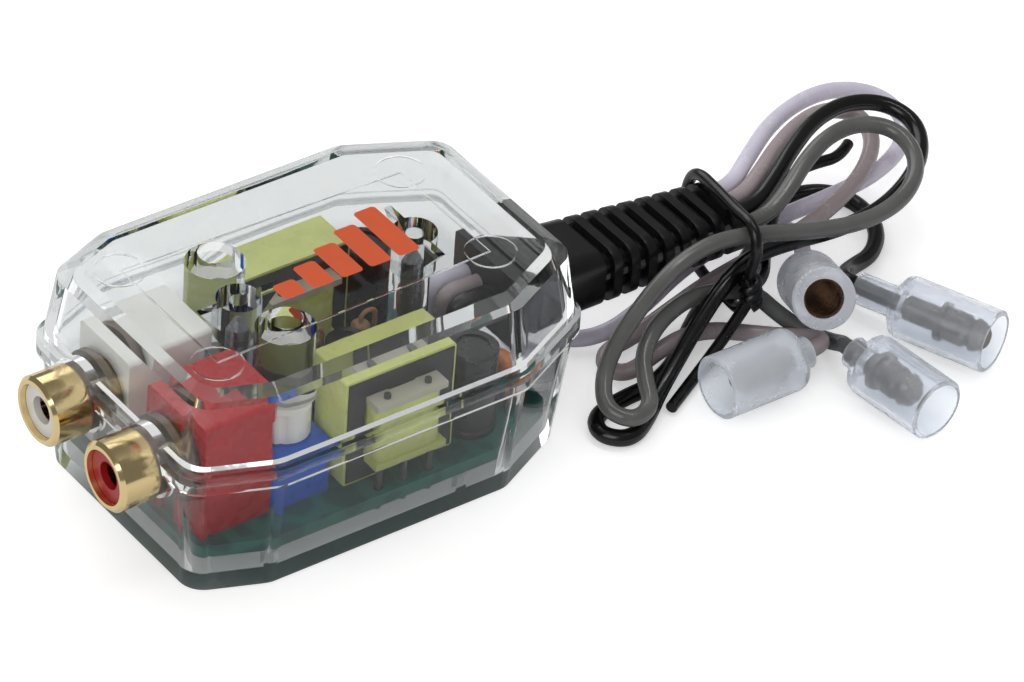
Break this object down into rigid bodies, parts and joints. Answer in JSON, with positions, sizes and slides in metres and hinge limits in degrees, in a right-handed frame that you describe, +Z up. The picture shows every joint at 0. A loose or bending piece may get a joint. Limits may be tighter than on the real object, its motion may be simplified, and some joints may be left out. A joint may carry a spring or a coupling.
{
  "type": "line output converter",
  "caption": "Small clear-cased audio adapter: speaker wires with bullet plugs in, two RCA line outputs, level trims inside.",
  "frame": {"origin": "centre of the housing's underside, on the surface it lies on", "axes": "+X towards the cable end, -X towards the RCA jacks, +Y to the left seen from the jacks' rear, +Z up"},
  "size_m": [0.1255, 0.0547, 0.027],
  "materials": {
    "housing": "clear polished plastic",
    "screws": "zinc plated",
    "board": "solder mask, satin",
    "tinned": "tinned wire",
    "relief": "satin black moulding",
    "can_sleeve": "shrink sleeve",
    "resistor": "lacquered",
    "red": "moulded",
    "white": "moulded",
    "dark_red": "moulded",
    "grey_white": "moulded",
    "lead_white": "soft PVC",
    "lead_pink": "soft PVC",
    "lead_dark": "soft PVC",
    "lead_grey": "soft PVC",
    "tie": "plastic-covered wire",
    "gold": "thin pale gold plate, polished",
    "blue": "moulded",
    "core": "varnished laminations",
    "tape": "film tape",
    "bobbin": "moulded nylon",
    "disc": "dipped",
    "terminal": "tinned brass",
    "sleeve": "frosted clear"
  },
  "bodies": {
    "case": {"housing_base": "housing", "housing_lid": "housing", "case_screws": "screws", "circuit_board": "board", "trimmer_pins": "tinned", "strain_relief": "relief", "small_capacitor_1": "can_sleeve", "small_capacitor_2": "can_sleeve", "resistor_1": "resistor", "resistor_2": "resistor", "resistor_3": "resistor", "resistor_4": "resistor", "jack_body_right": "red", "jack_body_left": "white", "jack_insulator_right": "dark_red", "jack_insulator_left": "grey_white", "lead_white": "lead_white", "lead_pink": "lead_pink", "lead_dark": "lead_dark", "lead_grey": "lead_grey", "twist_tie": "tie", "jack_shell_right": "gold", "jack_contact_right": "gold", "trimmer_body_right": "blue", "transformer_core_right": "core", "transformer_tape_right": "tape", "transformer_coil_right": "tape", "transformer_bobbin_right": "bobbin", "transformer_pins_right": "tinned", "large_capacitor_right": "can_sleeve", "disc_capacitor_right": "disc", "jack_shell_left": "gold", "jack_contact_left": "gold", "trimmer_body_left": "blue", "transformer_core_left": "core", "transformer_tape_left": "tape", "transformer_coil_left": "tape", "transformer_bobbin_left": "bobbin", "transformer_pins_left": "tinned", "large_capacitor_left": "can_sleeve", "disc_capacitor_left": "disc", "terminal_white": "terminal", "sleeve_white": "sleeve", "terminal_pink": "terminal", "sleeve_pink": "sleeve", "terminal_dark": "terminal", "sleeve_dark": "sleeve", "terminal_grey": "terminal", "sleeve_grey": "sleeve"},
    "trim_rotor_right": {"trimmer_rotor_right": "white"},
    "trim_rotor_left": {"trimmer_rotor_left": "white"}
  },
  "joints": [
    {"name": "level_trim_right", "type": "hinge", "parent": "case", "child": "trim_rotor_right", "pos_m": [-0.009, -0.0069, 0.0138], "axis": [0, 0, 1], "range_deg": [-150, 150]},
    {"name": "level_trim_left", "type": "hinge", "parent": "case", "child": "trim_rotor_left", "pos_m": [-0.009, 0.0069, 0.0138], "axis": [0, 0, 1], "range_deg": [-150, 150]}
  ]
}
